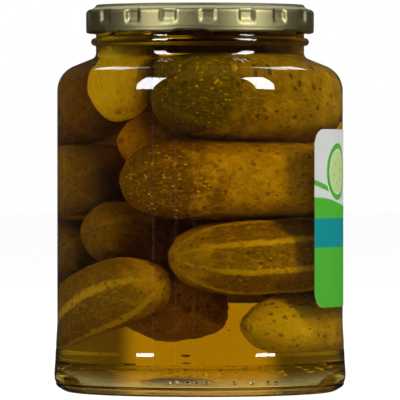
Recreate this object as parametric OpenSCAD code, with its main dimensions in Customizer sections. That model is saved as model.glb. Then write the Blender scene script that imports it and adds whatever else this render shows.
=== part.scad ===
// Round glass jar of pickles in brine, closed by a twist-off metal lid, with a wrap label.
// Millimetres, +Z up, origin at the centre of the underside. The front faces -Y.

/* [Glass body] */
// Diameter of the straight side
body_d = 107; // [100:1:140]
// Height of the top of the straight side
body_h = 112.7; // [85:0.1:170]
// Thickness of the glass wall
wall = 2.6; // [1.6:0.1:3.6]
// Thickness of the glass floor near its edge
floor_t = 5.2; // [3:0.1:9]

/* [Heel and foot] */
// How far the heel band stands out from the straight side
heel_flare = 1.1; // [0.4:0.1:3]
// Height of the top of the heel band
heel_h = 11.8; // [8:0.1:16]
// Height over which the heel runs in to the straight side
flare_h = 6.7; // [3:0.1:12]
// Radius of the outer corner under the heel
heel_round = 6.2; // [3:0.1:8]
// Radius of the inner corner where wall and floor meet
floor_round = 9; // [5:0.5:14]
// Width of the flat ring that the jar stands on
foot_w = 4.4; // [2:0.1:8]
// Rise of the hollow under the base, at its centre
push_up = 2.2; // [0.5:0.1:3]
// Rise of the inside floor, at its centre
floor_dome = 1.2; // [0.2:0.1:3]

/* [Shoulder and neck] */
// Radius of the rounded edge of the shoulder
shoulder_round = 10; // [6:0.5:12]
// Slope of the shoulder, in degrees
shoulder_slope = 22; // [10:1:30]
// Outer diameter of the neck
neck_d = 78; // [56:1:80]
// Radius of the hollow between shoulder and neck
neck_fillet = 2.3; // [1:0.1:4]
// Height of the ring bead above the foot of the neck
bead_rise = 4.15; // [3:0.05:8]
// How far the ring bead stands out from the neck
bead_out = 1.85; // [1.5:0.05:3]
// Half of the height of the ring bead
bead_half = 1.4; // [0.8:0.1:1.5]
// Height of the rim above the middle of the ring bead
finish_h = 12.2; // [11.5:0.1:18]

/* [Thread] */
// Number of thread leads, and of lugs on the lid
lead_count = 6; // [4:1:6]
// How far a lead stands out from the neck
lead_out = 1.7; // [1.2:0.1:2.2]
// Height of a lead where it leaves the neck
lead_h = 1.7; // [1.2:0.1:2.2]
// Slope of a lead, in degrees
lead_slope = 4.5; // [2:0.5:5]
// Angle that one lead takes round the neck
lead_span = 58; // [45:1:58]

/* [Lid] */
// Height of the lid
lid_h = 10.7; // [9.5:0.1:11.5]
// Thickness of the lacquered tinplate
tin_t = 0.3; // [0.2:0.05:0.5]
// Room between the thread leads and the skirt of the lid
lid_clear = 1.7; // [1.2:0.1:3]
// Thickness of the sealing compound over the rim
seal_t = 1.4; // [0.8:0.1:2]
// Radius of the rolled edge at the foot of the skirt
curl_round = 0.85; // [0.5:0.05:1.1]
// Number of grip dimples round the skirt
dimple_count = 18; // [8:1:24]
// Width of one grip dimple
dimple_w = 7; // [3:0.5:9]
// Height of one grip dimple
dimple_h = 5.4; // [3:0.1:6]
// Depth of one grip dimple
dimple_depth = 0.8; // [0.3:0.1:1]
// Angle that one lug takes round the lid
lug_span = 16; // [8:1:18]
// Thickness of one lug
lug_t = 0.9; // [0.5:0.1:1]
// Direction of one lug, in degrees from the front towards +X
lug_from = -5; // [-30:1:30]

/* [Label] */
// Height of the label's lower edge
label_low = 32.2; // [22:0.1:45]
// Distance from the label's upper edge down from the top of the straight side
label_drop = 14.4; // [2:0.1:30]
// Direction of the label's first edge, in degrees from the front towards +X
label_from = 52; // [0:1:90]
// Angle that the label takes round the jar
label_span = 200; // [60:5:300]
// Radius of the label's corners
label_round = 6; // [1:0.5:12]
// Thickness of the label
label_t = 0.2; // [0.1:0.05:0.5]

/* [Contents] */
// Distance from the rim down to the surface of the brine
headspace = 2.6; // [1:0.1:3]

/* [Clearances] */
// Gap between the brine and the inside of the glass
fill_gap = 0.05; // [0.02:0.01:0.1]
// Gap between the label and the glass
label_gap = 0.03; // [0.02:0.01:0.1]
// Gap between a lug and the thread lead above it
lug_gap = 0.2; // [0.1:0.05:0.5]
// Gap between the tip of a lug and the neck
lug_reach_gap = 0.6; // [0.3:0.1:1]

/* [Hidden] */
$fn = 128;

overlap = 0.3;                    // how deep joined shapes run into each other
arc_steps = 8;                    // straight steps in one round stretch of an outline
rim_round = 1.2;
lug_sink = 0.1;                   // the lug's underside above the rolled edge

// Glass, from the foot up
body_r = body_d / 2;
heel_r = body_r + heel_flare;
foot_out_r = heel_r - heel_round;
foot_in_r = foot_out_r - foot_w;
neck_r = neck_d / 2;
shoulder_c = [body_r - shoulder_round, body_h];
slope_low = shoulder_c + shoulder_round * [sin(shoulder_slope), cos(shoulder_slope)];
slope_high_r = neck_r + neck_fillet * (1 - sin(shoulder_slope));
slope_high_z = slope_low[1] + (slope_low[0] - slope_high_r) * tan(shoulder_slope);
neck_z = slope_high_z + neck_fillet * cos(shoulder_slope);
fillet_c = [neck_r + neck_fillet, neck_z];
bead_z = neck_z + bead_rise;
rim_z = bead_z + finish_h;
brine_z = rim_z - headspace;

// Lid, from the rim up, then down its skirt
lid_r = neck_r + lead_out + lid_clear + tin_t;
lid_top = rim_z + seal_t + tin_t;
lid_low = lid_top - lid_h;
edge_round = 1.8;                 // rounding where the skirt turns over
edge_drop = 1.7;                  // the skirt's rounding ends this far under the top
land_drop = 1.2;                  // the sloping land's inner end under the top
ring_in = 3.5;                    // the raised ring's outer edge in from the skirt
ring_w = 4;                       // width of the raised ring
ring_step = 0.6;                  // width of each step beside the raised ring
panel_drop = 0.9;                 // the panel's surface under the raised ring
button_r = 15;
button_rise = 0.5;
lug_low = lid_low + lug_sink;
lug_top = lug_low + lug_t;
lug_in_r = neck_r + lug_reach_gap;
lug_out_r = lid_r - curl_round;
dimple_low = lid_top - edge_drop - dimple_h;
first_dimple = 4;                 // direction of one dimple, in degrees from the front towards +X

// Thread leads: each passes over a lug near its upper end
lead_half = lead_span / 2;
lead_lug_angle = lead_half - lug_span;
lead_r = neck_r + lead_out;
lead_climb = lead_r * sin(lead_lug_angle) * sin(lead_slope);
lead_z = lug_top + lug_gap + lead_h / 2 - lead_climb;
lead_crest_h = lead_h * 0.65;

// Label
label_in_r = body_r + label_gap;
label_out_r = label_in_r + label_t;
label_top = body_h - label_drop;
label_corner_angle = label_round / label_in_r * 180 / PI;
label_step = 3;                   // degrees between the label's columns

// Points on an arc round c, from angle a to angle b
function arc(c, r, a, b, steps = arc_steps) =
    [for (i = [0:steps]) c + r * [cos(a + (b - a) * i / steps), sin(a + (b - a) * i / steps)]];

// A smooth run from point p to point q that starts and ends level with the axis
function ease_up(p, q, steps = arc_steps) =
    [for (i = [0:steps]) [q[0] + (p[0] - q[0]) * (1 + cos(180 * i / steps)) / 2, p[1] + (q[1] - p[1]) * i / steps]];

// A smooth run from point p to point q that starts and ends flat
function ease_across(p, q, steps = arc_steps) =
    [for (i = [0:steps]) [p[0] + (q[0] - p[0]) * i / steps, q[1] + (p[1] - q[1]) * (1 + cos(180 * i / steps)) / 2]];

// Outside of the glass, from the centre of the base up to the rim
function glass_outside() = concat(
    ease_across([0, push_up], [foot_in_r, 0]),
    arc([foot_out_r, heel_round], heel_round, -90, 0),
    ease_up([heel_r, heel_h], [body_r, heel_h + flare_h]),
    arc(shoulder_c, shoulder_round, 0, 90 - shoulder_slope),
    arc(fillet_c, neck_fillet, 270 - shoulder_slope, 180),
    [[neck_r, bead_z - bead_half]],
    arc([neck_r + bead_out - bead_half, bead_z], bead_half, -90, 90),
    [[neck_r, bead_z + bead_half]],
    arc([neck_r - rim_round, rim_z - rim_round], rim_round, 0, 90, 4)
);

// Inside of the glass, from the given height down to the centre of the floor.
// in is how far it lies inside the glass surface.
function glass_inside(in, top) = concat(
    [[neck_r - wall - in, top]],
    arc(fillet_c, neck_fillet + wall + in, 180, 270 - shoulder_slope),
    arc(shoulder_c, shoulder_round - wall - in, 90 - shoulder_slope, 0),
    arc([body_r - wall - floor_round, floor_t + floor_round], floor_round - in, 0, -90),
    ease_across([body_r - wall - floor_round, floor_t + in], [0, floor_t + floor_dome + in])
);

module glass_shell() {
    rotate_extrude() polygon(concat(glass_outside(), glass_inside(0, rim_z)));
}

// One lead, its middle on +X, climbing anticlockwise
module thread_lead() {
    translate([0, 0, lead_z]) rotate([lead_slope, 0, 0]) rotate([0, 0, -lead_half])
        rotate_extrude(angle = lead_span) polygon([
            [neck_r - overlap, -lead_h / 2], [lead_r, -lead_crest_h / 2],
            [lead_r, lead_crest_h / 2], [neck_r - overlap, lead_h / 2]
        ]);
}

module jar() {
    color([0.80, 0.87, 0.82, 0.35]) union() {
        glass_shell();
        for (i = [0:lead_count - 1])
            rotate([0, 0, lug_from - 90 + lug_span / 2 - lead_half + i * 360 / lead_count]) thread_lead();
    }
}

module brine() {
    color([0.62, 0.43, 0.05, 0.8])
        rotate_extrude() polygon(concat([[0, brine_z]], glass_inside(fill_gap, brine_z)));
}

// Outside of the lid, from the centre of its top to the foot of the skirt.
// in is how far it lies inside the tinplate's outer face.
function lid_face(in) = concat(
    [[0, lid_top - panel_drop + button_rise - in], [button_r - in, lid_top - panel_drop + button_rise - in],
     [button_r + ring_step - in, lid_top - panel_drop - in],
     [lid_r - ring_in - ring_w - ring_step - in, lid_top - panel_drop - in],
     [lid_r - ring_in - ring_w, lid_top - in], [lid_r - ring_in - ring_step - in, lid_top - in],
     [lid_r - ring_in + ring_step - in, lid_top - land_drop - in]],
    arc([lid_r - edge_round, lid_top - edge_drop - edge_round], edge_round - in, 90, 0)
);

function reversed(list) = [for (i = [len(list) - 1:-1:0]) list[i]];

module lid_shell() {
    curl_c = [lid_r - curl_round, lid_low + curl_round];
    rotate_extrude() polygon(concat(
        lid_face(0),
        arc(curl_c, curl_round, 0, -225, 12),
        [[lid_r - tin_t, lid_low + 2 * curl_round + overlap]],
        reversed(lid_face(tin_t))
    ));
}

// The space inside the tinplate's outer face, above the rolled edge
module lid_space(in) {
    rotate_extrude() polygon(concat(
        lid_face(in), [[lid_r - in, lid_low + 2 * curl_round], [0, lid_low + 2 * curl_round]]
    ));
}

// Sealing compound that fills the raised ring and meets the rim
module seal() {
    rotate_extrude() polygon([
        [neck_r - wall - rim_round / 2, rim_z], [neck_r + rim_round / 4, rim_z],
        [neck_r + rim_round / 4, lid_top - land_drop - tin_t / 2], [lid_r - ring_in - ring_step - tin_t, lid_top - tin_t / 2],
        [lid_r - ring_in - ring_w, lid_top - tin_t / 2],
        [neck_r - wall - rim_round / 2, lid_top - panel_drop - tin_t / 2]
    ]);
}

// A block of the skirt between two radii and two heights, centred on +X
module skirt_block(r_in, r_out, low, high, span) {
    rotate([0, 0, -span / 2]) rotate_extrude(angle = span)
        polygon([[r_in, low], [r_out, low], [r_out, high], [r_in, high]]);
}

module each_dimple() {
    for (i = [0:dimple_count - 1])
        rotate([0, 0, first_dimple - 90 + i * 360 / dimple_count]) children();
}

module lid() {
    dimple_span = 2 * asin(dimple_w / 2 / lid_r);
    backing_span = 2 * asin((dimple_w / 2 + tin_t) / lid_r);
    color([0.72, 0.66, 0.44]) difference() {
        union() {
            lid_shell();
            seal();
            intersection() {
                lid_space(tin_t / 2);
                each_dimple() skirt_block(lid_r - dimple_depth - tin_t, lid_r,
                    dimple_low - tin_t, lid_top, backing_span);
            }
            for (i = [0:lead_count - 1])
                rotate([0, 0, lug_from - 90 + i * 360 / lead_count])
                    skirt_block(lug_in_r, lug_out_r, lug_low, lug_top, lug_span);
        }
        each_dimple() skirt_block(lid_r - dimple_depth, lid_r + overlap, dimple_low, lid_top, dimple_span);
    }
}

// Columns of the label from one edge to the other: [direction, inset of its ends]
function label_columns() =
    let (corner = [for (k = [0:arc_steps])
            [label_corner_angle * (1 - cos(90 * k / arc_steps)), label_round * (1 - sin(90 * k / arc_steps))]],
         middle_span = label_span - 2 * label_corner_angle,
         steps = ceil(middle_span / label_step))
    concat(
        corner,
        [for (i = [1:steps - 1]) [label_corner_angle + middle_span * i / steps, 0]],
        [for (k = [arc_steps:-1:0]) [label_span - corner[k][0], corner[k][1]]]
    );

function on_side(r, direction, z) =
    [r * sin(label_from + direction), -r * cos(label_from + direction), z];

module label() {
    columns = label_columns();
    last = len(columns) - 1;
    points = [for (c = columns)
        each [on_side(label_in_r, c[0], label_low + c[1]), on_side(label_in_r, c[0], label_top - c[1]),
              on_side(label_out_r, c[0], label_top - c[1]), on_side(label_out_r, c[0], label_low + c[1])]];
    sides = [for (i = [0:last - 1]) for (k = [0:3])
        [4 * i + k, 4 * i + (k + 1) % 4, 4 * (i + 1) + (k + 1) % 4, 4 * (i + 1) + k]];
    color([0.88, 0.89, 0.88])
        polyhedron(points, concat([[3, 2, 1, 0]], sides, [[for (k = [0:3]) 4 * last + k]]));
}

jar();
brine();
lid();
label();
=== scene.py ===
"""Looks of a closed pickle jar: clear glass, amber brine, whole pickles, spice, a gold lid and a wrap label.

Lengths in the classes are millimetres, and a piece is turned into metres once, when it is finished.
Directions are degrees round the jar, from the front (-Y) towards +X.
"""

import sys
import logging
import math
import random
from dataclasses import dataclass, field
from enum import Enum

import bmesh
import bpy
from mathutils import Matrix, Vector, noise


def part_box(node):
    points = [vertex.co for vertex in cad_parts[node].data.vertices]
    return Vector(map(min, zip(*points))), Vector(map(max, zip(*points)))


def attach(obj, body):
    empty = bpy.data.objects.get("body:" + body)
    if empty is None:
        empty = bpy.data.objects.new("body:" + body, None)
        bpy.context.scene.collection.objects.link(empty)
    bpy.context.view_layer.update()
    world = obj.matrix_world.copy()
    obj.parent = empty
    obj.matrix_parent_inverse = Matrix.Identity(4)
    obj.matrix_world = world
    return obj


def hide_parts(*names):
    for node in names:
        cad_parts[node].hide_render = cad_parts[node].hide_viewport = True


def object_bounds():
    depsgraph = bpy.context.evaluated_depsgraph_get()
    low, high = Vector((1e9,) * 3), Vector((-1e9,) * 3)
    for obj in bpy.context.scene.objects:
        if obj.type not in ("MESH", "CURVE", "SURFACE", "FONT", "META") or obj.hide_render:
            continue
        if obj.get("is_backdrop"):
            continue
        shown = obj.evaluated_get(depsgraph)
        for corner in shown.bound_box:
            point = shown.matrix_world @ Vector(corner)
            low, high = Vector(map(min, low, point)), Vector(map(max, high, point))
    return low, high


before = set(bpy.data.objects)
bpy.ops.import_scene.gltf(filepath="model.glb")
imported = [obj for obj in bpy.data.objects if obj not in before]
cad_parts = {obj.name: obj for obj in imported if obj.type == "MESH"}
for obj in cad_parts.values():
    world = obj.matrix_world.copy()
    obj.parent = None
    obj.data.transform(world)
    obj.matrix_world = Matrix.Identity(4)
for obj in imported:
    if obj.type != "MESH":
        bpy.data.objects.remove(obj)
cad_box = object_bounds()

MM = 0.001
BODY = "root"
FULL_TURN = 2 * math.pi
SAME_POINT = 1e-4
BLACK = (0.0, 0.0, 0.0, 1.0)
WHITE = (1.0, 1.0, 1.0, 1.0)
Colour = tuple[float, float, float]
Pair = tuple[float, float]
Reach = tuple[float, float, float, float]
Socket = bpy.types.NodeSocket
Mesh = bmesh.types.BMesh
Material = bpy.types.Material
Piece = bpy.types.Object
log = logging.getLogger("pickle_jar")


class Slot(Enum):
    """The material slots of the record."""

    GLASS = "jar_glass"
    BRINE = "brine"
    LID = "lid_lacquer"
    LABEL = "label_paper"
    PICKLE = "pickle_skin"
    HERB = "herb"
    SPICE = "spice"


class Run(Enum):
    """How a stretch of an outline runs: straight, or as a smooth S with level or upright ends."""

    STRAIGHT = 0
    LEVEL = 1
    UPRIGHT = 2


# ---- shared helpers


def node_box(node: str) -> tuple[Vector, Vector]:
    """Give a CAD node's lowest and highest corners in millimetres."""
    low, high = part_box(node)
    return low / MM, high / MM


def smooth_step(value: float, low: float, high: float) -> float:
    """Rise smoothly from 0 at low to 1 at high, which may be the smaller of the two."""
    share = min(max((value - low) / (high - low), 0.0), 1.0)
    return share * share * (3 - 2 * share)


def radius_of(point: Vector) -> float:
    """Give a point's distance from the jar's axis."""
    return math.hypot(point.x, point.y)


def direction_of(point: Vector) -> float:
    """Give a point's direction round the jar, in degrees."""
    return math.degrees(math.atan2(point.x, -point.y))


def turn_from_nearest(point: Vector, first: float, count: int) -> float:
    """Give a point's turn, in degrees, from the nearest of some evenly spaced directions."""
    half = 180 / count
    return (direction_of(point) - first + half) % (2 * half) - half


def on_round(radius: float, direction: float, height: float) -> Vector:
    """Give the point at a radius, a direction in degrees and a height."""
    angle = math.radians(direction)
    return Vector((radius * math.sin(angle), -radius * math.cos(angle), height))


def push_out(point: Vector, distance: float) -> None:
    """Move a point away from the jar's axis, in place."""
    point.xy *= 1 + distance / radius_of(point)


def faces_axis(face: bmesh.types.BMFace) -> bool:
    """Tell whether a face looks towards the jar's axis."""
    return face.normal.xy.dot(face.calc_center_median().xy) < 0


def finish_piece(
    name: str,
    bm: Mesh,
    materials: list[Material],
    slot: Slot,
    node: str | None = None,
    sharp_angle: float = 180.0,
) -> Piece:
    """Turn a mesh in millimetres into a dressed piece that rides on the jar.

    Args:
        name: the piece's name.
        bm: its mesh, which is used up.
        materials: its finishes, by the faces' own numbers.
        slot: the record's slot that the finish belongs to; not used.
        node: the CAD node that it stands for, if any.
        sharp_angle: edges that turn by more than this many degrees stay sharp.

    Returns:
        The finished object.
    """
    bmesh.ops.scale(bm, vec=(MM, MM, MM), verts=bm.verts)
    limit = math.radians(sharp_angle)
    for edge in bm.edges:
        edge.smooth = not (edge.is_manifold and edge.calc_face_angle(0.0) > limit)
    for face in bm.faces:
        face.smooth = True
    mesh = bpy.data.meshes.new(name)
    bm.to_mesh(mesh)
    bm.free()
    for material in materials:
        mesh.materials.append(material)
    piece = bpy.data.objects.new(name, mesh)
    bpy.context.scene.collection.objects.link(piece)
    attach(piece, BODY)
    if node:
        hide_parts(node)
    log.info("%s: %d triangles", name, sum(len(face.vertices) - 2 for face in mesh.polygons))
    return piece


@dataclass
class Outline:
    """A line in the half plane beside the jar's axis, as points of radius and height."""

    points: list[Pair]

    def to(self, radius: float, height: float, steps: int = 1, run: Run = Run.STRAIGHT) -> None:
        """Go to a point in equal steps.

        Args:
            radius: the point's radius.
            height: the point's height.
            steps: how many steps the stretch has.
            run: how the stretch runs.
        """
        r0, z0 = self.points[-1]
        for i in range(1, steps + 1):
            share = i / steps
            wave = (1 - math.cos(math.pi * share)) / 2
            across = wave if run is Run.UPRIGHT else share
            up = wave if run is Run.LEVEL else share
            self.points.append((r0 + (radius - r0) * across, z0 + (height - z0) * up))

    def arc(self, centre: Pair, radius: float, start: float, end: float, steps: int) -> None:
        """Go along an arc.

        Args:
            centre: its centre, as radius and height.
            radius: its own radius.
            start: the angle of its first point, in degrees from outwards towards up.
            end: the angle of its last point.
            steps: how many straight steps it has.
        """
        for i in range(steps + 1):
            angle = math.radians(start + (end - start) * i / steps)
            point = (centre[0] + radius * math.cos(angle), centre[1] + radius * math.sin(angle))
            if math.dist(point, self.points[-1]) > SAME_POINT:
                self.points.append(point)

    def spun(self, steps: int) -> Mesh:
        """Turn the outline round the jar's axis into a closed skin.

        Args:
            steps: the number of steps in the full turn.

        Returns:
            The skin, with its normals outwards.
        """
        bm = bmesh.new()
        verts = [bm.verts.new((radius, 0.0, height)) for radius, height in self.points]
        edges = [bm.edges.new(pair) for pair in zip(verts, verts[1:])]
        bmesh.ops.spin(
            bm, geom=verts + edges, steps=steps, use_merge=True,
            cent=(0, 0, 0), axis=(0, 0, 1), angle=FULL_TURN,
        )
        bmesh.ops.remove_doubles(bm, verts=bm.verts, dist=0.0005)
        bmesh.ops.recalc_face_normals(bm, faces=bm.faces)
        return bm


class NodeWork:
    """A node tree that is being put together, of a material or of the world."""

    def __init__(self, tree: bpy.types.NodeTree) -> None:
        """Start on an emptied tree."""
        tree.nodes.clear()
        self.tree = tree

    def add(self, kind: str, inputs: dict | None = None, **settings: object) -> bpy.types.Node:
        """Add a node.

        Args:
            kind: the node's type after "ShaderNode".
            inputs: values or sockets for its inputs, by name or number.
            settings: its own properties.

        Returns:
            The node.
        """
        node = self.tree.nodes.new("ShaderNode" + kind)
        for name, value in settings.items():
            setattr(node, name, value)
        for name, value in (inputs or {}).items():
            if isinstance(value, Socket):
                self.tree.links.new(value, node.inputs[name])
            else:
                node.inputs[name].default_value = value
        return node

    def maths(self, operation: str, first: object, second: object = 0.0) -> Socket:
        """Add a Math node and give its result."""
        return self.add("Math", {0: first, 1: second}, operation=operation).outputs[0]

    def plus(self, first: object, second: object) -> Socket:
        """Add two values."""
        return self.maths("ADD", first, second)

    def less(self, first: object, second: object) -> Socket:
        """Take the second value from the first."""
        return self.maths("SUBTRACT", first, second)

    def times(self, first: object, second: object) -> Socket:
        """Multiply two values."""
        return self.maths("MULTIPLY", first, second)

    def span(
        self, value: Socket, low: float, high: float, to_low: float = 0.0, to_high: float = 1.0
    ) -> Socket:
        """Map the stretch from low to high onto another, clamped and smooth."""
        inputs = {"Value": value, "From Min": low, "From Max": high, "To Min": to_low, "To Max": to_high}
        return self.add("MapRange", inputs, interpolation_type="SMOOTHSTEP").outputs["Result"]

    def choose(self, share: object, first: object, second: object) -> Socket:
        """Mix two numbers."""
        return self.add("Mix", {0: share, 2: first, 3: second}).outputs[0]

    def blend(self, share: object, first: object, second: object) -> Socket:
        """Mix two colours, each given as numbers or as a socket."""
        pair = [ink if isinstance(ink, Socket) else (*ink, 1.0) for ink in (first, second)]
        return self.add("Mix", {0: share, 6: pair[0], 7: pair[1]}, data_type="RGBA").outputs[2]

    def noise(self, place: Socket, scale: float, detail: float = 3.0, rough: float = 0.5) -> Socket:
        """Add a cloudy pattern from 0 to 1, with this many features to a unit of place."""
        inputs = {"Vector": place, "Scale": scale, "Detail": detail, "Roughness": rough}
        return self.add("TexNoise", inputs).outputs["Fac"]

    def stretched(self, place: Socket, scale: Colour) -> Socket:
        """Stretch a place along its three axes before a pattern reads it."""
        return self.add("Mapping", {"Vector": place, "Scale": scale}).outputs["Vector"]

    def attribute(self, name: str) -> bpy.types.Node:
        """Read a value that the mesh carries."""
        return self.add("Attribute", attribute_name=name)

    def bump(self, height: Socket, strength: float, distance: float) -> Socket:
        """Add a Bump node of a depth in metres and give its normal."""
        inputs = {"Height": height, "Strength": strength, "Distance": distance}
        return self.add("Bump", inputs).outputs["Normal"]


class Recipe(NodeWork):
    """A material that is being put together."""

    def __init__(self, name: str) -> None:
        """Start an empty material.

        Args:
            name: the material's name.
        """
        self.material = bpy.data.materials.new(name)
        self.material.use_nodes = True
        super().__init__(self.material.node_tree)
        self.output = self.add("OutputMaterial")

    def object_place(self) -> Socket:
        """Give the place on the piece, in metres from the jar's origin."""
        return self.add("TexCoord").outputs["Object"]

    def surface(self, shader: bpy.types.Node) -> Material:
        """Use a shader as the material's surface and give the material."""
        self.tree.links.new(shader.outputs[0], self.output.inputs["Surface"])
        return self.material

    def coat(self, inputs: dict) -> Material:
        """Use a Principled shader with these inputs as the surface and give the material."""
        return self.surface(self.add("BsdfPrincipled", inputs))

    def clear_coat(self, inputs: dict) -> Material:
        """Use a Principled shader that lets lamp light and diffuse light straight through.

        Args:
            inputs: the inputs of the shader that the eye sees.

        Returns:
            The material.
        """
        ray = self.add("LightPath").outputs
        lets_through = self.maths("MAXIMUM", ray["Is Shadow Ray"], ray["Is Diffuse Ray"])
        seen = self.add("BsdfPrincipled", inputs).outputs[0]
        bare = self.add("BsdfTransparent").outputs[0]
        return self.surface(self.add("MixShader", {0: lets_through, 1: seen, 2: bare}))


# ---- finishes


@dataclass(frozen=True)
class ClearStuff:
    """A clear, polished stuff, perhaps with slight waves or with a colour that grows with depth.

    A face that brine lies against mirrors nothing when looked at squarely.
    """

    name: str
    tint: Colour
    index: float
    mirrors: bool = False
    wave_size: float = 45.0
    wave_stretch: Colour = (1.0, 1.0, 0.12)
    wave_depth: float = 0.0
    density: float = 0.0
    passes: Colour = (1.0, 1.0, 1.0)

    def make(self) -> Material:
        """Make the material.

        Returns:
            The material.
        """
        recipe = Recipe(self.name)
        inputs = {
            "Base Color": (*self.tint, 1.0), "Roughness": 0.0, "IOR": self.index, "Transmission Weight": 1.0
        }
        if not self.mirrors:
            inputs["Specular Tint"] = BLACK
        if self.wave_depth:
            place = recipe.stretched(recipe.object_place(), self.wave_stretch)
            waves = recipe.noise(place, self.wave_size, detail=1.5)
            inputs["Normal"] = recipe.bump(waves, 1.0, self.wave_depth)
        if self.density:
            depth = recipe.add("VolumeAbsorption", {"Color": (*self.passes, 1.0), "Density": self.density})
            recipe.tree.links.new(depth.outputs["Volume"], recipe.output.inputs["Volume"])
        return recipe.clear_coat(inputs)


class Clear(Enum):
    """The clear stuffs: glass with a faint green cast, its wetted inside, and brine that stops blue."""

    GLASS = ClearStuff("clear_glass", (0.985, 0.995, 0.985), 1.5, mirrors=True, wave_depth=0.00001)
    WETTED = ClearStuff("wetted_glass", (0.99, 1.0, 0.99), 1.5)
    BRINE = ClearStuff("amber_brine", (0.97, 0.86, 0.30), 1.34, density=160.0, passes=(0.944, 0.899, 0.0))


@dataclass(frozen=True)
class PickleSkin:
    """Wet pickled skin: light ribs, mottles, dark dots, scars, and a blossom end of its own colour with
    yellow flecks; on the gold skin that end colour is partly painted shade, and on the tapered skin partly a
    painted lit tip.

    Its patterns read the skin's own place in millimetres, and the other values that a pickle's mesh carries.
    """

    name: str
    ground: Colour
    light: Colour
    dark: Colour
    end: Colour
    end_reach: Pair = (-0.75, -0.15)
    rib_light: float = 0.30
    patch_light: float = 0.55
    dot_share: float = 0.55
    fleck_share: float = 0.5
    fleck: Colour = (0.85, 0.56, 0.05)
    scar: Colour = (0.17, 0.075, 0.014)
    dots_to_mm: float = 0.38
    flecks_to_mm: float = 0.60
    patch_reach: Pair = (0.55, 0.85)
    stripe_reach: Pair = (0.62, 1.0)
    shade_reach: Reach = (0.46, 0.74, 0.0, 0.45)
    grain_light: Reach = (0.50, 0.74, 0.0, 0.65)
    grain_dark: Reach = (0.48, 0.26, 0.0, 0.60)
    scar_reach: Reach = (0.80, 0.97, 0.0, 0.7)
    relief_depth: float = 0.0016

    def dots(self, recipe: Recipe, place: Socket, to_mm: float, size: float) -> Socket:
        """Give scattered dots, some of them faint.

        Args:
            recipe: the material.
            place: the skin's own place.
            to_mm: how many dots there are to a millimetre.
            size: their radius as a share of their spacing.

        Returns:
            1 in a dot and 0 outside.
        """
        cells = recipe.add("TexVoronoi", {"Vector": place, "Scale": to_mm}).outputs
        wobble = recipe.times(recipe.noise(place, to_mm * 5, detail=2.0), 0.22)
        inside = recipe.span(recipe.plus(cells["Distance"], wobble), size + 0.20, size + 0.06)
        luck = recipe.add("SeparateColor", {0: cells["Color"]}).outputs[0]
        return recipe.times(inside, recipe.span(luck, 0.08, 0.55))

    def make(self) -> Material:
        """Make the material.

        Returns:
            The material.
        """
        recipe = Recipe("skin_" + self.name)
        plus, less, times, span, blend = recipe.plus, recipe.less, recipe.times, recipe.span, recipe.blend
        rest = recipe.attribute("rest").outputs["Vector"]
        along, rib, tip = (recipe.attribute(name).outputs["Fac"] for name in ("along", "rib", "tip"))
        cloud = recipe.noise(rest, 0.13, rough=0.6)
        mottle = recipe.noise(rest, 0.40, detail=4.0, rough=0.65)
        grain = recipe.noise(recipe.stretched(rest, (1.0, 1.0, 0.45)), 1.0, detail=4.0, rough=0.75)

        lit = plus(cloud, times(mottle, 0.35))
        colour = blend(span(lit, *self.patch_reach, 0.0, self.patch_light), self.ground, self.light)
        colour = blend(span(mottle, *self.shade_reach), colour, self.dark)

        # The blossom end's share; the end colour it brings in is the skin's own, partly painted shade on the
        # gold skin and partly a painted lit tip on the tapered skin.
        dull = plus(along, times(less(cloud, 0.5), 1.2))
        at_end = span(dull, self.end_reach[1], self.end_reach[0])
        colour = blend(at_end, colour, self.end)

        stripe = span(plus(rib, times(less(mottle, 0.5), 0.7)), *self.stripe_reach)
        colour = blend(times(stripe, self.rib_light), colour, self.light)
        colour = blend(span(grain, *self.grain_light), colour, self.light)
        colour = blend(span(grain, *self.grain_dark), colour, self.dark)

        dots = self.dots(recipe, recipe.stretched(rest, (1.0, 1.0, 0.72)), self.dots_to_mm, 0.22)
        colour = blend(times(dots, self.dot_share), colour, self.dark)
        flecks = self.dots(recipe, recipe.stretched(rest, (1.0, 1.0, 0.5)), self.flecks_to_mm, 0.16)
        colour = blend(times(flecks, times(at_end, self.fleck_share)), colour, self.fleck)
        colour = blend(span(tip, *self.scar_reach), colour, self.scar)

        relief = less(plus(times(mottle, 0.9), times(grain, 0.35)), times(dots, 0.25))
        normal = recipe.bump(relief, 0.8, self.relief_depth)
        return recipe.coat(
            {"Base Color": colour, "Roughness": 0.45, "Specular IOR Level": 0.06, "Normal": normal}
        )


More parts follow.
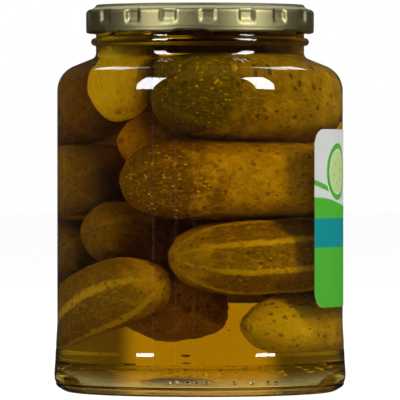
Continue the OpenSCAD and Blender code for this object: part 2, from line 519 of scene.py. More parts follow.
class Skin(Enum):
    """The skins in the jar: ground, light, dark and end colours.

    Besides ripeness, some carry painted light: the bright skin and the sunk skin are lit copies painted
    lighter, for pickles that look strongly lit and for the deep pickle at the bottom; the gold skin's dark
    end is partly painted shade, and the tapered skin's pale end partly a painted lit tip.
    """

    # Its dark blossom end is partly the skin's own brown-orange and partly painted shade, for the left side
    # of the front pickle that the lamps leave dimmer.
    GOLD = PickleSkin(
        "gold", (0.36, 0.195, 0.014), (0.60, 0.375, 0.027), (0.085, 0.040, 0.008), (0.150, 0.060, 0.009),
        end_reach=(-0.62, -0.18), rib_light=0.08, fleck_share=0.85,
    )
    RIBBED = PickleSkin(
        "ribbed", (0.165, 0.078, 0.008), (0.50, 0.31, 0.023), (0.070, 0.034, 0.007), (0.42, 0.240, 0.016),
        end_reach=(-0.98, -0.62), rib_light=0.85, patch_light=0.15, fleck_share=0.2,
    )
    # A copy of the skin painted lighter, as painted light, for the pickles at the top left and behind the
    # front one that look strongly lit.
    BRIGHT = PickleSkin(
        "bright", (0.76, 0.48, 0.026), (0.90, 0.64, 0.040), (0.30, 0.160, 0.012), (0.72, 0.47, 0.028),
        rib_light=0.2, dot_share=0.35, fleck_share=0.1,
    )
    OLIVE = PickleSkin(
        "olive", (0.215, 0.118, 0.011), (0.42, 0.255, 0.020), (0.055, 0.030, 0.007), (0.090, 0.058, 0.009),
        end_reach=(-0.62, -0.05), rib_light=0.12, dot_share=0.75, fleck_share=0.45,
    )
    # Its pale blossom end is partly painted light: a lit tip on the lower right pickle, whose body lies in
    # the label's shadow.
    TAPERED = PickleSkin(
        "tapered", (0.24, 0.130, 0.012), (0.46, 0.285, 0.022), (0.070, 0.034, 0.007), (0.42, 0.265, 0.018),
        end_reach=(-0.75, -0.25), rib_light=0.15, dot_share=0.75, fleck_share=0.1,
    )
    SHADED = PickleSkin(
        "shaded", (0.26, 0.142, 0.012), (0.44, 0.265, 0.020), (0.085, 0.043, 0.007), (0.22, 0.128, 0.012),
        fleck_share=0.15,
    )
    # A copy of the skin painted lighter, as painted light, for the pickle deep at the bottom of the jar.
    SUNK = PickleSkin(
        "sunk", (0.44, 0.250, 0.020), (0.66, 0.43, 0.030), (0.15, 0.078, 0.010), (0.42, 0.240, 0.018)
    )


@dataclass(frozen=True)
class GoldLacquer:
    """Pale gold lacquer over tinplate, with the faint grain of rolled sheet."""

    colour: Colour = (0.185, 0.168, 0.082)
    shade: Colour = (0.155, 0.140, 0.066)
    roughness: float = 0.47
    rough_play: Pair = (-0.05, 0.08)
    grain_depth: float = 0.00004

    def make(self) -> Material:
        """Make the material.

        Returns:
            The material.
        """
        recipe = Recipe("gold_lacquer")
        place = recipe.object_place()
        grain = recipe.noise(place, 1400.0, detail=2.0, rough=0.6)
        cloud = recipe.noise(place, 60.0, detail=2.0)
        smooth, coarse = (self.roughness + play for play in self.rough_play)
        return recipe.coat({
            "Base Color": recipe.blend(recipe.span(cloud, 0.3, 0.75, 0.0, 0.35), self.colour, self.shade),
            "Metallic": 1.0,
            "Roughness": recipe.span(grain, 0.2, 0.8, smooth, coarse),
            "Normal": recipe.bump(grain, 0.3, self.grain_depth),
        })


@dataclass(frozen=True)
class Mottled:
    """A dull finish that wavers between two colours, for small bits in the brine and for bare paper."""

    name: str
    colour: Colour
    shade: Colour
    scale: float = 700.0
    detail: float = 3.0
    reach: Pair | None = (0.35, 0.65)
    roughness: float = 0.5
    gloss: float = 0.1

    def make(self) -> Material:
        """Make the material.

        Returns:
            The material.
        """
        recipe = Recipe(self.name)
        cloud = recipe.noise(recipe.object_place(), self.scale, self.detail)
        share = recipe.span(cloud, *self.reach) if self.reach else cloud
        colour = recipe.blend(share, self.colour, self.shade)
        inputs = {"Base Color": colour, "Roughness": self.roughness, "Specular IOR Level": self.gloss}
        return recipe.coat(inputs)


class Dull(Enum):
    """The dull finishes: herb, spice, and the label's unprinted back."""

    HERB = Mottled("herb_scrap", (0.62, 0.42, 0.03), (0.40, 0.27, 0.02))
    SPICE = Mottled("spice_grit", (0.10, 0.05, 0.012), (0.05, 0.025, 0.008))
    PAPER = Mottled("bare_paper", (0.74, 0.74, 0.70), (0.68, 0.68, 0.63), 400.0, 4.0, None, 0.6, 0.2)


@dataclass(frozen=True)
class LabelPrint:
    """Coated paper printed in flat fields: white over green at a wave, a teal band, a bar and an emblem.

    The fields are placed in millimetres along the label from its first edge and up from its lower edge.
    """

    length: float
    height: float
    white: Colour = (0.43, 0.435, 0.425)
    green: Colour = (0.050, 0.288, 0.019)
    teal: Colour = (0.0, 0.177, 0.184)
    flesh: Colour = (0.33, 0.41, 0.16)
    wave_mid: float = 39.1
    wave_rise: float = 1.8
    wave_length: float = 71.0
    band: Pair = (22.3, 33.0)
    bar_start: float = 46.4
    bar_half: float = 0.95
    bar_fall: float = 0.25
    bar_end: float = 10.0
    emblem: Pair = (19.0, 50.3)
    emblem_r: float = 10.6
    emblem_rim: float = 0.8
    rind: Pair = (0.80, 0.74)
    seed_count: int = 6
    seed_from: float = 15.0
    seed_place: float = 0.40
    seed_half: float = 0.75
    seed_slim: float = 0.45
    edge: float = 0.12

    def make(self) -> Material:
        """Make the material.

        Returns:
            The material.
        """
        recipe = Recipe("label_print")
        plus, less, times, span, blend = recipe.plus, recipe.less, recipe.times, recipe.span, recipe.blend
        uv = recipe.add("UVMap", uv_map="UVMap").outputs["UV"]
        sheet = recipe.add("SeparateXYZ", {0: recipe.stretched(uv, (self.length, self.height, 1.0))})
        along, up = sheet.outputs[0], sheet.outputs[1]

        def above(level: object) -> Socket:
            """Give 1 above a level and 0 under it."""
            return span(less(up, level), -self.edge, self.edge)

        def between(low: object, high: object) -> Socket:
            """Give 1 between two levels and 0 elsewhere."""
            return times(above(low), less(1.0, above(high)))

        def disc(centre: Pair, radius: float, slim: float = 1.0, lean: float = 0.0) -> Socket:
            """Mark a disc or a leaning oval.

            Args:
                centre: its place along the label and up it.
                radius: its longer half.
                slim: its other half as a share of the longer one.
                lean: its turn in degrees.

            Returns:
                1 inside and 0 outside.
            """
            dx, dy = less(along, centre[0]), less(up, centre[1])
            cos, sin = math.cos(math.radians(lean)), math.sin(math.radians(lean))
            long = plus(times(dx, cos), times(dy, sin))
            wide = recipe.maths("DIVIDE", less(times(dy, cos), times(dx, sin)), slim)
            far = recipe.maths("SQRT", plus(times(long, long), times(wide, wide)))
            return span(far, radius + self.edge, radius - self.edge)

        phase = recipe.maths("COSINE", times(along, FULL_TURN / self.wave_length))
        wave = plus(times(phase, self.wave_rise), self.wave_mid)
        colour = blend(above(wave), self.green, self.white)
        colour = blend(between(*self.band), colour, self.teal)
        bar_middle = less(self.bar_start, times(along, self.bar_fall))
        bar = between(less(bar_middle, self.bar_half), plus(bar_middle, self.bar_half))
        bar = times(bar, span(along, self.bar_end + self.edge, self.bar_end - self.edge))
        colour = blend(bar, colour, self.green)
        radius = self.emblem_r
        rings = (
            (radius + self.emblem_rim, self.white), (radius, self.green),
            (radius * self.rind[0], self.white), (radius * self.rind[1], self.flesh),
        )
        for ring_r, ink in rings:
            colour = blend(disc(self.emblem, ring_r), colour, ink)
        for i in range(self.seed_count):
            lean = self.seed_from + i * 360 / self.seed_count
            reach = radius * self.seed_place
            x = self.emblem[0] + reach * math.cos(math.radians(lean))
            y = self.emblem[1] + reach * math.sin(math.radians(lean))
            colour = blend(disc((x, y), self.seed_half, self.seed_slim, lean), colour, self.green)
        return recipe.coat({"Base Color": colour, "Roughness": 0.45, "Specular IOR Level": 0.2})


# ---- glass and brine


@dataclass
class JarGlass:
    """The blown glass jar, from its foot ring to its thread."""

    wall: float = 2.6
    floor_t: float = 4.0
    heel_flare: float = 1.1
    flare_top: float = 27.0
    band_z: Pair = (14.3, 16.7)
    band_share: Pair = (0.38, 0.59)
    heel_round: float = 6.2
    floor_round: float = 9.0
    foot_w: float = 4.4
    push_up: float = 1.2
    floor_dome: float = 0.8
    shoulder_round: float = 10.0
    shoulder_slope: float = 22.0
    neck_r: float = 39.0
    neck_fillet: float = 2.3
    bead_rise: float = 4.15
    bead_out: float = 1.85
    bead_half: float = 1.4
    bead_foot: Pair = (0.12, 0.5)
    finish_h: float = 12.2
    rim_round: float = 1.2
    lead_count: int = 6
    lead_out: float = 1.7
    lead_h: float = 1.9
    lead_flanks: Pair = (0.62, 0.2)
    lead_slope: float = 4.5
    lead_half: float = 29.0
    lead_fade: float = 6.0
    lead_from: float = -26.0
    lead_z: float = 135.5
    dot_r: float = 0.95
    dot_out: float = 0.6
    dot_z: float = 5.2
    dot_from: float = -12.1
    dot_step: float = 3.65
    dots_close: int = 5
    dots_apart: tuple[float, ...] = (13.3, 20.3, 27.4, 30.8)
    dot_margin: float = 2.5
    dot_flank: float = 0.25
    dot_cuts: int = 3
    knurl_z: Pair = (1.7, 3.2)
    knurl_out: float = 0.38
    spin_steps: int = 448

    def __post_init__(self) -> None:
        """Take the overall sizes from the frame, and work out the shoulder."""
        _, high = node_box("jar")
        self.rim_z = high.z
        self.heel_r = high.x
        self.foot_r = self.heel_r - self.heel_round
        self.body_r = self.heel_r - self.heel_flare
        self.bead_z = self.rim_z - self.finish_h
        self.brine_z = node_box("brine")[1].z
        self.fillet_c = (self.neck_r + self.neck_fillet, self.bead_z - self.bead_rise)
        slope = math.radians(self.shoulder_slope)
        high_r = self.neck_r + self.neck_fillet * (1 - math.sin(slope))
        high_z = self.fillet_c[1] - self.neck_fillet * math.cos(slope)
        low_r = self.body_r - self.shoulder_round * (1 - math.sin(slope))
        low_z = high_z - (low_r - high_r) * math.tan(slope)
        self.body_h = low_z - self.shoulder_round * math.cos(slope)
        self.shoulder_c = (self.body_r - self.shoulder_round, self.body_h)

    def outside(self) -> Outline:
        """Give the outside, from the centre of the base up to the rim.

        Returns:
            The outline.
        """
        line = Outline([(0.0, self.push_up)])
        line.to(self.foot_r - self.foot_w, 0.0, 12, Run.LEVEL)
        line.to(self.foot_r, 0.0, 2)
        line.arc((self.foot_r, self.heel_round), self.heel_round, -90, 0, 20)
        for share, height in zip(self.band_share, self.band_z):
            line.to(self.heel_r - share * self.heel_flare, height, 8, Run.UPRIGHT)
        line.to(self.body_r, self.flare_top, 10, Run.UPRIGHT)
        line.to(self.body_r, self.body_h, 4)
        line.arc(self.shoulder_c, self.shoulder_round, 0, 90 - self.shoulder_slope, 16)
        line.arc(self.fillet_c, self.neck_fillet, 270 - self.shoulder_slope, 180, 8)
        out, apart = self.bead_foot
        line.to(self.neck_r, self.bead_z - self.bead_half - apart)
        line.to(self.neck_r + out, self.bead_z - self.bead_half)
        line.arc((self.neck_r + self.bead_out - self.bead_half, self.bead_z), self.bead_half, -90, 90, 12)
        line.to(self.neck_r + out, self.bead_z + self.bead_half)
        line.to(self.neck_r, self.bead_z + self.bead_half + apart)
        line.to(self.neck_r, self.rim_z - self.rim_round, 30)
        line.arc((self.neck_r - self.rim_round, self.rim_z - self.rim_round), self.rim_round, 0, 90, 6)
        return line

    def inside(self, line: Outline, deeper: float, top: float) -> None:
        """Go on along the inside, from a height down to the centre of the floor.

        Args:
            line: the outline that is carried on.
            deeper: how far the line lies inside the glass itself.
            top: the height at which it starts.
        """
        inner_r = self.body_r - self.wall
        line.to(self.neck_r - self.wall + deeper, top, 2)
        line.arc(self.fillet_c, self.neck_fillet + self.wall - deeper, 180, 270 - self.shoulder_slope, 10)
        line.arc(self.shoulder_c, self.shoulder_round - self.wall + deeper, 90 - self.shoulder_slope, 0, 14)
        corner = (inner_r - self.floor_round, self.floor_t + self.floor_round)
        line.to(inner_r + deeper, corner[1], 4)
        line.arc(corner, self.floor_round + deeper, 0, -90, 14)
        line.to(0.0, self.floor_t + self.floor_dome - deeper, 10, Run.LEVEL)

    def raise_leads(self, bm: Mesh) -> None:
        """Raise the thread leads on the neck's outer wall.

        Args:
            bm: the glass's mesh.
        """
        low, high = self.bead_z + self.bead_half + 0.3, self.rim_z - self.rim_round
        rise = self.neck_r * math.sin(math.radians(self.lead_slope))
        wide, narrow = self.lead_flanks
        for vert in bm.verts:
            turn = turn_from_nearest(vert.co, self.lead_from, self.lead_count)
            on_wall = low < vert.co.z < high and radius_of(vert.co) > self.neck_r - 0.1
            if on_wall and abs(turn) <= self.lead_half:
                middle = self.lead_z + rise * math.sin(math.radians(turn))
                ridge = smooth_step(abs(vert.co.z - middle), self.lead_h * wide, self.lead_h * narrow)
                fade = smooth_step(abs(turn), self.lead_half, self.lead_half - self.lead_fade)
                push_out(vert.co, self.lead_out * ridge * fade)

    def roll_knurl(self, bm: Mesh) -> None:
        """Press the fine bearing knurl into the lower heel, one tooth to every two columns of the mesh.

        Args:
            bm: the glass's mesh.
        """
        step = 360 / self.spin_steps
        low, high = self.knurl_z
        for vert in bm.verts:
            on_heel = radius_of(vert.co) > self.foot_r and low < vert.co.z < high
            if on_heel and round(direction_of(vert.co) / step) % 2:
                push_out(vert.co, self.knurl_out)

    def raise_dots(self, bm: Mesh) -> None:
        """Raise the mould dots on the heel, a close row and some apart, on a finer patch of the mesh.

        Args:
            bm: the glass's mesh.
        """
        dots = [self.dot_from + self.dot_step * i for i in range(self.dots_close)] + list(self.dots_apart)
        edges = {}
        for face in bm.faces:
            centre = face.calc_center_median()
            outside = radius_of(centre) > self.foot_r + self.heel_round * 0.3
            near = abs(centre.z - self.dot_z) < self.dot_r + 0.6
            beside = dots[0] - self.dot_margin < direction_of(centre) < dots[-1] + self.dot_margin
            if outside and near and beside:
                edges.update(dict.fromkeys(face.edges))
        cut = bmesh.ops.subdivide_edges(bm, edges=list(edges), cuts=self.dot_cuts, use_grid_fill=True)
        touched = {item for item in cut["geom"] if isinstance(item, bmesh.types.BMVert)}
        touched.update(vert for edge in edges if edge.is_valid for vert in edge.verts)
        centres = [on_round(self.heel_r, direction, self.dot_z) for direction in dots]
        for vert in touched:
            nearest = min((vert.co - centre).length for centre in centres)
            push_out(vert.co, self.dot_out * smooth_step(nearest, self.dot_r, self.dot_r * self.dot_flank))

    def line_inside(self, bm: Mesh) -> None:
        """Mark the faces that the brine wets, from the floor up to its surface.

        Args:
            bm: the glass's mesh.
        """
        for face in bm.faces:
            centre, tilt = face.calc_center_median(), face.normal.z
            inner = radius_of(centre) < self.body_r - self.wall / 2
            on_wall = centre.z < self.brine_z and faces_axis(face)
            on_floor = inner and self.floor_t + 4 < centre.z < self.body_h and tilt > 0.3
            under_shoulder = centre.z > self.body_h and tilt < -0.01
            face.material_index = int(on_wall or on_floor or under_shoulder)

    def build(self) -> Piece:
        """Build and dress the glass.

        Returns:
            The glass piece.
        """
        line = self.outside()
        self.inside(line, 0.0, self.rim_z - 4)
        bm = line.spun(self.spin_steps)
        for shape in (self.raise_leads, self.roll_knurl, self.raise_dots, self.line_inside):
            shape(bm)
        finishes = [Clear.GLASS.value.make(), Clear.WETTED.value.make()]
        return finish_piece("jar_glass", bm, finishes, Slot.GLASS, "jar")


@dataclass
class Brine:
    """The brine that fills the jar and reaches just into its wall."""

    glass: JarGlass
    into_wall: float = 0.3
    spin_steps: int = 256

    def build(self) -> Piece:
        """Build and dress the brine.

        Returns:
            The brine piece.
        """
        top = self.glass.brine_z
        line = Outline([(0.0, top)])
        line.to(self.glass.neck_r - self.glass.wall + self.into_wall, top, 4)
        self.glass.inside(line, self.into_wall, top - 1)
        bm = line.spun(self.spin_steps)
        return finish_piece("brine_fill", bm, [Clear.BRINE.value.make()], Slot.BRINE, "brine")


# ---- lid


@dataclass
class Lid:
    """The twist-off lid: pressed panel, raised ring, dimpled skirt, rolled edge and lugs."""

    tin: float = 0.3
    edge_round: float = 1.8
    edge_drop: float = 1.7
    land_drop: float = 1.2
    ring_in: float = 3.5
    ring_w: float = 4.0
    ring_step: float = 0.6
    panel_drop: float = 0.9
    button_r: float = 15.0
    button_rise: float = 0.5
    curl: float = 0.85
    crease_in: float = 0.1
    crease_z: Pair = (0.5, 0.9)
    dimple_count: int = 18
    dimple_half: float = 3.8
    dimple_soft: float = 2.0
    dimple_depth: float = 1.0
    dimple_from: float = 4.0
    dimple_foot: Pair = (136.7, 139.5)
    dimple_head: Pair = (143.7, 141.3)
    lug_count: int = 6
    lug_from: float = -5.0
    lug_half: float = 8.5
    lug_soft: Pair = (1.5, 2.0)
    lug_reach: float = 1.9
    lug_rise: float = 0.6
    lug_head: Pair = (3.1, 1.2)
    rim_r: Pair = (35.8, 39.3)
    seal_t: float = 1.4
    spin_steps: int = 540

    def __post_init__(self) -> None:
        """Take the overall sizes from the frame."""
        low, high = node_box("lid")
        self.radius = high.x
        self.top = high.z
        self.low = low.z

    def outline(self) -> Outline:
        """Give the whole section: the face, the skirt, the rolled edge and back along the inside.

        Returns:
            The outline.
        """
        panel = self.top - self.panel_drop
        ring_out = self.radius - self.ring_in
        line = Outline([(0.0, panel + self.button_rise)])
        line.to(self.button_r, panel + self.button_rise, 3)
        line.to(self.button_r + self.ring_step, panel, 5, Run.LEVEL)
        line.to(ring_out - self.ring_w - self.ring_step, panel, 3)
        line.to(ring_out - self.ring_w, self.top, 6, Run.LEVEL)
        line.to(ring_out - self.ring_step, self.top, 3)
        line.to(ring_out + self.ring_step, self.top - self.land_drop, 6, Run.LEVEL)
        corner_z = self.top - self.edge_drop - self.edge_round
        line.arc((self.radius - self.edge_round, corner_z), self.edge_round, 90, 0, 12)
        curl_z = self.low + self.curl
        line.to(self.radius, curl_z + self.crease_z[1], 18)
        line.to(self.radius - self.crease_in, curl_z + self.crease_z[0])
        line.arc((self.radius - self.curl, curl_z), self.curl, 0, -225, 14)
        inner_r = self.radius - self.tin
        line.to(inner_r, curl_z + self.curl + 0.3)
        line.to(inner_r, corner_z, 16)
        line.to(inner_r - 0.7, self.top - self.edge_drop - 0.4)
        rim_in, rim_out = self.rim_r
        seat = self.top - self.tin - self.seal_t
        line.to(rim_out, self.top - self.land_drop - self.tin)
        line.to(rim_out, seat)
        line.to(rim_in, seat)
        line.to(rim_in, panel - self.tin)
        line.to(0.0, panel - self.tin, 4)
        return line

    def press_dimples(self, bm: Mesh) -> None:
        """Press the grip dimples into the skirt.

        Args:
            bm: the lid's mesh.
        """
        for vert in bm.verts:
            if radius_of(vert.co) < self.radius - self.edge_round or vert.co.z < self.dimple_foot[0]:
                continue
            turn = turn_from_nearest(vert.co, self.dimple_from, self.dimple_count)
            across = abs(math.radians(turn)) * self.radius
            dent = smooth_step(across, self.dimple_half, self.dimple_half - self.dimple_soft)
            dent *= smooth_step(vert.co.z, *self.dimple_foot) * smooth_step(vert.co.z, *self.dimple_head)
            push_out(vert.co, -self.dimple_depth * dent)

    def form_lugs(self, bm: Mesh) -> None:
        """Draw the rolled edge inwards and a little up at each lug.

        Args:
            bm: the lid's mesh.
        """
        middle_r = self.radius - self.curl
        head, foot = (self.low + z for z in self.lug_head)
        for vert in bm.verts:
            if vert.co.z > head + 0.1 or radius_of(vert.co) < self.radius - 3:
                continue
            turn = abs(turn_from_nearest(vert.co, self.lug_from, self.lug_count))
            window = smooth_step(turn, self.lug_half + self.lug_soft[0], self.lug_half - self.lug_soft[1])
            inner = smooth_step(radius_of(vert.co), middle_r + 0.1, middle_r - self.curl * 0.7)
            low = smooth_step(vert.co.z, head, foot)
            vert.co.z += self.lug_rise * window * low
            push_out(vert.co, -self.lug_reach * window * inner * low)

    def build(self) -> Piece:
        """Build and dress the lid.

        Returns:
            The lid piece.
        """
        bm = self.outline().spun(self.spin_steps)
        self.press_dimples(bm)
        self.form_lugs(bm)
        return finish_piece("lid_shell", bm, [GoldLacquer().make()], Slot.LID, "lid", sharp_angle=50)


# ---- label


@dataclass
class Label:
    """The paper label that wraps round one side of the jar."""

    start: float = 52.0
    span: float = 200.0
    corner: float = 6.0
    thickness: float = 0.2
    columns: int = 170
    rows: int = 24
    corner_columns: int = 10

    def place_along(self, column: int, length: float) -> float:
        """Give a column's distance from the first edge: close together at the rounded corners.

        Args:
            column: the column's number.
            length: the label's length.

        Returns:
            The distance in millimetres.
        """
        from_end = min(column, self.columns - column)
        if from_end < self.corner_columns:
            near = self.corner * (1 - math.cos(math.pi / 2 * from_end / self.corner_columns))
        else:
            share = (from_end - self.corner_columns) / (self.columns - 2 * self.corner_columns)
            near = self.corner + (length - 2 * self.corner) * share
        return near if column <= self.columns / 2 else length - near

    def build(self) -> Piece:
        """Build and dress the label.

        Returns:
            The label piece.
        """
        low, high = node_box("label")
        radius = max(-low.x, high.x, high.y) - self.thickness
        length = radius * math.radians(self.span)
        tall = high.z - low.z
        bm = bmesh.new()
        uv = bm.loops.layers.uv.new("UVMap")
        bmesh.ops.create_grid(bm, x_segments=self.columns, y_segments=self.rows, size=1.0, calc_uvs=True)
        for vert in bm.verts:
            along = self.place_along(round((vert.co.x + 1) / 2 * self.columns), length)
            to_edge = max(self.corner - min(along, length - along), 0.0)
            inset = self.corner - math.sqrt(max(self.corner**2 - to_edge**2, 0.0))
            up = inset + (tall - 2 * inset) * (vert.co.y + 1) / 2
            for loop in vert.link_loops:
                loop[uv].uv = (along / length, up / tall)
            vert.co = on_round(radius, self.start + math.degrees(along / radius), low.z + up)
        skin = bmesh.ops.extrude_face_region(bm, geom=bm.faces[:], use_keep_orig=True)
        for item in skin["geom"]:
            if isinstance(item, bmesh.types.BMVert):
                push_out(item.co, self.thickness)
        bmesh.ops.recalc_face_normals(bm, faces=bm.faces)
        for face in bm.faces:
            face.material_index = int(faces_axis(face))
        finishes = [LabelPrint(length, tall).make(), Dull.PAPER.value.make()]
        return finish_piece("wrap_label", bm, finishes, Slot.LABEL, "label", sharp_angle=50)


# ---- pickles and spice


@dataclass
class Pickle:
    """One whole pickle, from its blossom end to its stem end."""

    name: str
    blossom: tuple[float, float, float]
    stem: tuple[float, float, float]
    radius: float
    bend: tuple[float, float, float]
    blunt: Pair
    skin: Skin
    ribs: int = 5
    rib_depth: float = 0.03
    rib_phase: float = 0.0
    rib_wander: Pair = (0.4, 2.2)
    swell: Pair = (0.05, 1.6)
    lump: Pair = (0.35, 0.11)
    wart: Pair = (0.4, 0.19)
    wart_reach: Pair = (0.40, 0.05)
    scar_r: float = 2.1
    scar_lip: float = 0.45
    scar_cup: float = 0.8
    rounds: int = 96
    rows: int = 80

    def girth(self, share: float) -> float:
        """Give the radius at a share of the half length, from -1 at the blossom end to 1 at the stem end."""
        power = self.blunt[0] if share < 0 else self.blunt[1]
        return self.radius * math.sqrt(max(1 - abs(share) ** power, 0.0))

    def build(self, material: Material, seed: int) -> Piece:
        """Build and dress the pickle.

        Args:
            material: its skin.
            seed: the number that sets its own bumps.

        Returns:
            The pickle piece.
        """
        start, end = Vector(self.blossom), Vector(self.stem)
        middle = (start + end) / 2
        length = (end - start).length
        axis = (end - start).normalized()
        bend = Vector(self.bend)
        bend -= axis * bend.dot(axis)
        turn = axis.to_track_quat("Z", "Y")
        own = Vector((17.3, 5.1, 9.7)) * seed
        bm = bmesh.new()
        bmesh.ops.create_uvsphere(bm, u_segments=self.rounds, v_segments=self.rows, radius=1.0)
        rest = bm.verts.layers.float_vector.new("rest")
        values = {name: bm.verts.layers.float.new(name) for name in ("along", "rib", "tip")}
        for vert in bm.verts:
            share = vert.co.z
            angle = math.atan2(vert.co.y, vert.co.x)
            girth = self.girth(share)
            skin = Vector((girth * math.cos(angle), girth * math.sin(angle), share * length / 2))
            body = smooth_step(girth, 0.0, self.radius * 0.8)
            wander = self.rib_wander[0] * math.sin(self.rib_wander[1] * share)
            rib = math.cos(self.ribs * angle + math.radians(self.rib_phase) + wander)
            swell = 1 + self.swell[0] * noise.noise(Vector((share * self.swell[1], seed * 3.7, 0.0)))
            lump = self.lump[0] * noise.noise(skin * self.lump[1] + own) * body
            reach = noise.voronoi(skin * self.wart[1] + own)[0][0]
            wart = self.wart[0] * smooth_step(reach, *self.wart_reach) * (0.2 + 0.8 * body)
            grown = girth * (swell + self.rib_depth * rib * (0.25 + 0.75 * body)) + lump + wart
            local = Vector((grown * math.cos(angle), grown * math.sin(angle), share * length / 2))
            lip = self.scar_lip * smooth_step(abs(girth - self.scar_r), self.scar_r * 0.6, 0.0)
            cup = self.scar_cup * smooth_step(girth, self.scar_r * 1.1, 0.0)
            local.z += math.copysign(lip - cup, share)
            vert[rest] = skin + own
            vert[values["along"]] = share
            vert[values["rib"]] = rib
            vert[values["tip"]] = 1 - min(girth / (self.scar_r * 5), 1.0)
            vert.co = middle + turn @ local + bend * (1 - share * share)
        bmesh.ops.recalc_face_normals(bm, faces=bm.faces)
        return finish_piece("pickle_" + self.name, bm, [material], Slot.PICKLE)


@dataclass
class PicklePack:
    """The pickles as they lie in the jar: blossom end, stem end, radius, bend, bluntness and skin."""

    pickles: list[Pickle] = field(default_factory=lambda: [
        Pickle(
            "top_left", (-27.2, -27.4, 104.7), (-19, 9, 129.5), 10.8, (-1, -1, 1), (3.2, 3.2), Skin.BRIGHT
        ),
        Pickle("top", (-14.5, -31.5, 110.5), (46, 3, 107.6), 15.7, (0, -3, 0), (4.0, 3.2), Skin.OLIVE),
        Pickle("front", (-26, -32, 79.3), (46.5, -3, 79), 14.7, (0, -4, 0.5), (4.4, 3.6), Skin.GOLD),
        Pickle("behind_front", (-22.5, -2, 94), (44, 20, 90), 12.6, (0, 2, 0), (4.2, 3.4), Skin.BRIGHT),
        Pickle("left", (-41, -3, 78.5), (-10, 40, 80), 13.4, (-3, 0, 0), (4.2, 3.4), Skin.SHADED),
        Pickle("mid_left", (-34, -12, 60.5), (14, 20, 56), 12.2, (0, 2, 0), (4.2, 3.4), Skin.SHADED),
        Pickle("lower", (-9, -35, 51), (47, 2, 53), 13.9, (3, -4, -1), (3.4, 3.0), Skin.RIBBED, 8, 0.04, 200),
        Pickle(
            "slanted", (-13.5, -36.2, 43), (-42, 20, 22), 12.6, (-5, -2, 1), (3.6, 3.4), Skin.RIBBED, 5, 0.04
        ),
        Pickle("bottom", (-3.9, -12, 31.5), (-8, 42, 29), 13.0, (0, 0, 0), (4.0, 3.4), Skin.SUNK),
        Pickle("bottom_right", (16, -37, 25), (38, 27, 25), 12.4, (7, -3, 1), (2.2, 3.4), Skin.TAPERED),
        Pickle("upright_left", (-34, 14, 100), (-12, 37, 111), 11.5, (-3, 2, 0), (4.0, 3.4), Skin.SHADED),
        Pickle("low_left", (-41.5, 8, 52), (-6, 41, 52), 12.0, (-3, 2, 0), (4.0, 3.4), Skin.SHADED),
        Pickle("back_right", (18, 35, 34), (38, 12, 72), 11.5, (0, 0, 0), (4.0, 3.4), Skin.SHADED),
        Pickle("back_top", (-2, 37, 113), (30, 25, 112), 10.4, (0, 0, 0), (4.0, 3.4), Skin.SHADED),
        # A pickle across the back of the neck, put there so that the neck under the lid reads dark: a dark
        # thing standing in for shade.
        Pickle("in_neck", (-12, 20, 129), (32, 6, 129), 9.5, (0, 2, 0), (3.4, 3.4), Skin.SHADED),
    ])

    def build(self) -> list[Piece]:
        """Build every pickle and give the pieces."""
        skins = {skin: skin.value.make() for skin in Skin}
        return [pickle.build(skins[pickle.skin], seed) for seed, pickle in enumerate(self.pickles, 1)]


@dataclass
class LooseBits:
    """Many small bits of one kind that lie on the jar's floor or hang in the brine."""

    name: str
    slot: Slot
    finish: Dull
    count: int
    length: Pair
    flatness: float
    radius: Pair
    height: Pair
    seed: int
    lean: float = 0.5
    slimness: Pair = (0.25, 0.45)
    crumple: float = 0.22

    def build(self) -> Piece:
        """Build and dress the bits as one piece.

        Returns:
            The piece.
        """
        draw = random.Random(self.seed)
        bm = bmesh.new()
        for _ in range(self.count):
            long = draw.uniform(*self.length)
            place = on_round(draw.uniform(*self.radius), draw.uniform(-180, 180), draw.uniform(*self.height))
            lean_x = Matrix.Rotation(draw.uniform(-self.lean, self.lean), 4, "X")
            lean_y = Matrix.Rotation(draw.uniform(-self.lean, self.lean), 4, "Y")
            turn = Matrix.Rotation(draw.uniform(0, math.pi), 4, "Z") @ (lean_x @ lean_y)
            size = Matrix.Diagonal((long / 2, long * draw.uniform(*self.slimness), long * self.flatness, 1.0))
            shape = Matrix.Translation(place) @ turn @ size
            made = bmesh.ops.create_icosphere(bm, subdivisions=2, radius=1.0, matrix=shape)
            for vert in made["verts"]:
                vert.co += self.crumple * long * noise.noise_vector(vert.co * (2.2 / long))
        bmesh.ops.recalc_face_normals(bm, faces=bm.faces)
        return finish_piece(self.name, bm, [self.finish.value.make()], self.slot)


def loose_bits() -> list[LooseBits]:
    """List the kinds of loose bits: their count, lengths, flatness, radii, heights and seed.

    Returns:
        The kinds.
    """
    return [
        LooseBits("herb_scraps", Slot.HERB, Dull.HERB, 46, (1.4, 3.4), 0.06, (30.0, 46.0), (6.4, 8.0), 3),
        LooseBits("herb_specks", Slot.HERB, Dull.HERB, 60, (0.5, 1.1), 0.10, (44.0, 49.5), (14.0, 110.0), 4),
        LooseBits("spice_specks", Slot.SPICE, Dull.SPICE, 70, (0.4, 0.8), 0.25, (40, 49.5), (20, 44), 5),
        LooseBits("spice_sunk", Slot.SPICE, Dull.SPICE, 60, (0.4, 1.0), 0.25, (10.0, 44.0), (5.6, 6.8), 6),
    ]


# ---- studio


@dataclass
class Softbox:
    """A studio lamp aimed at the jar, in metres and degrees."""

    name: str
    direction: float
    elevation: float
    width: float
    height: float
    radiance: float
    for_gloss: bool = True
    distance: float = 1.2

    def build(self, aim: Vector) -> None:
        """Build the lamp.

        Args:
            aim: the point that it faces.
        """
        lamp = bpy.data.lights.new(self.name, "AREA")
        lamp.shape = "RECTANGLE"
        lamp.size = self.width
        lamp.size_y = self.height
        lamp.energy = self.radiance * math.pi * self.width * self.height
        stand = bpy.data.objects.new(self.name, lamp)
        rise = math.radians(self.elevation)
        offset = on_round(math.cos(rise), self.direction, math.sin(rise)) * self.distance
        stand.location = aim + offset
        stand.rotation_euler = offset.to_track_quat("Z", "Y").to_euler()
        stand.visible_camera = False
        stand.visible_transmission = False
        stand.visible_glossy = self.for_gloss
        stand.visible_diffuse = not self.for_gloss
        bpy.context.scene.collection.objects.link(stand)


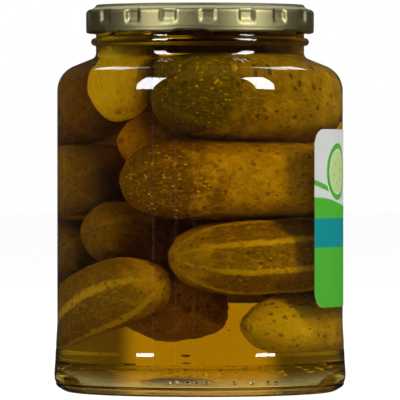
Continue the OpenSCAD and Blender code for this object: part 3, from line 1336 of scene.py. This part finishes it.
@dataclass
class Studio:
    """The pale floor, the lit backdrop, the lamps and the camera, in metres."""

    floor_half: float = 6.0
    floor_colour: Colour = (0.86, 0.86, 0.85)
    floor_unseen: float = 0.8
    floor_glow: float = 0.97
    lobe_reach: Pair = (0.20, 0.32)
    lobe_light: Pair = (1.0, 0.20)
    down_reach: Pair = (-0.16, -0.30)
    down_light: float = 0.55
    gloss_light: float = 0.02
    diffuse_light: float = 0.04
    camera_distance: float = 2.1
    camera_height: float = 0.092
    aim_height: float = 0.0718
    lens: float = 504.0
    sensor: float = 36.0
    softboxes: list[Softbox] = field(default_factory=lambda: [
        Softbox("gloss_left", -44, 27, 0.32, 0.95, 22.0),
        Softbox("gloss_right", 53, 27, 0.36, 0.95, 22.0),
        Softbox("gloss_back", 180, 55, 1.2, 0.5, 5.0),
        Softbox("gloss_edge_far", -37, 4, 0.012, 0.6, 0.7),
        Softbox("gloss_edge_near", -19, 4, 0.012, 0.6, 0.45),
        Softbox("gloss_edge_mid", -5, 4, 0.008, 0.6, 0.6),
        Softbox("light_left", -64, 38, 0.30, 0.95, 6.5, for_gloss=False),
        Softbox("light_right", 70, 29, 0.20, 0.55, 43.0, for_gloss=False),
        Softbox("light_top_back", 180, 62, 1.0, 0.5, 4.0, for_gloss=False),
    ])

    def floor(self) -> None:
        """Build the floor, which glows to the eye and is mostly unlit there."""
        bm = bmesh.new()
        bmesh.ops.create_grid(bm, x_segments=1, y_segments=1, size=self.floor_half)
        mesh = bpy.data.meshes.new("floor")
        bm.to_mesh(mesh)
        bm.free()
        recipe = Recipe("pale_floor")
        eye = recipe.add("LightPath").outputs["Is Camera Ray"]
        share = recipe.less(1.0, recipe.times(eye, self.floor_unseen))
        matt = recipe.add("BsdfDiffuse", {"Color": recipe.blend(share, BLACK[:3], self.floor_colour)})
        glow = recipe.add("Emission", {"Color": WHITE, "Strength": recipe.times(eye, self.floor_glow)})
        both = recipe.add("AddShader", {0: matt.outputs[0], 1: glow.outputs[0]})
        mesh.materials.append(recipe.surface(both))
        floor = bpy.data.objects.new("floor", mesh)
        floor.visible_glossy = False
        floor.visible_transmission = False
        bpy.context.scene.collection.objects.link(floor)
        floor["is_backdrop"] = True

    def backdrop(self) -> None:
        """Light the room: white to the eye, dark in gloss, and bright behind the jar through the glass."""
        world = bpy.data.worlds.new("studio")
        world.use_nodes = True
        work = NodeWork(world.node_tree)
        way = work.add("SeparateXYZ", {0: work.add("TexCoord").outputs["Generated"]}).outputs
        nearest = work.maths("MINIMUM", work.maths("ABSOLUTE", way[0]), work.maths("ABSOLUTE", way[1]))
        lobe = work.span(nearest, *self.lobe_reach, *self.lobe_light)
        down = work.span(way[2], *self.down_reach, 0.0, self.down_light)
        ray = work.add("LightPath").outputs
        dim = work.choose(ray["Is Diffuse Ray"], self.gloss_light, self.diffuse_light)
        through = work.choose(ray["Is Transmission Ray"], dim, work.maths("MAXIMUM", lobe, down))
        seen = work.choose(ray["Is Camera Ray"], through, 1.0)
        ground = work.add("Background", {0: WHITE, 1: seen})
        work.add("OutputWorld", {0: ground.outputs[0]})
        bpy.context.scene.world = world

    def camera(self) -> None:
        """Set up the camera."""
        data = bpy.data.cameras.new("camera")
        data.lens = self.lens
        data.sensor_width = self.sensor
        camera = bpy.data.objects.new("camera", data)
        camera.location = (0.0, -self.camera_distance, self.camera_height)
        sight = Vector((0.0, 0.0, self.aim_height)) - camera.location
        camera.rotation_euler = sight.to_track_quat("-Z", "Y").to_euler()
        bpy.context.scene.collection.objects.link(camera)
        bpy.context.scene.camera = camera

    def build(self) -> None:
        """Build the whole studio."""
        self.camera()
        self.floor()
        self.backdrop()
        for softbox in self.softboxes:
            softbox.build(Vector((0.0, 0.0, self.aim_height)))
        scene = bpy.context.scene
        scene.view_settings.view_transform = "Standard"
        scene.cycles.transmission_bounces = 16
        scene.cycles.transparent_max_bounces = 24
        scene.cycles.max_bounces = 24


def main() -> None:
    """Build the jar from the studio inwards."""
    form = "%(name)s %(relativeCreated)d ms %(message)s"
    logging.basicConfig(level=logging.INFO, format=form, stream=sys.stdout)
    Studio().build()
    glass = JarGlass()
    glass.build()
    Brine(glass).build()
    PicklePack().build()
    for bits in loose_bits():
        bits.build()
    Lid().build()
    Label().build()
    visual_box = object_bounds()
    boxes = {"cad": cad_box, "visual": visual_box}
    {name: [list(corner) for corner in box] for name, box in boxes.items()}


if __name__ == "__main__":
    main()
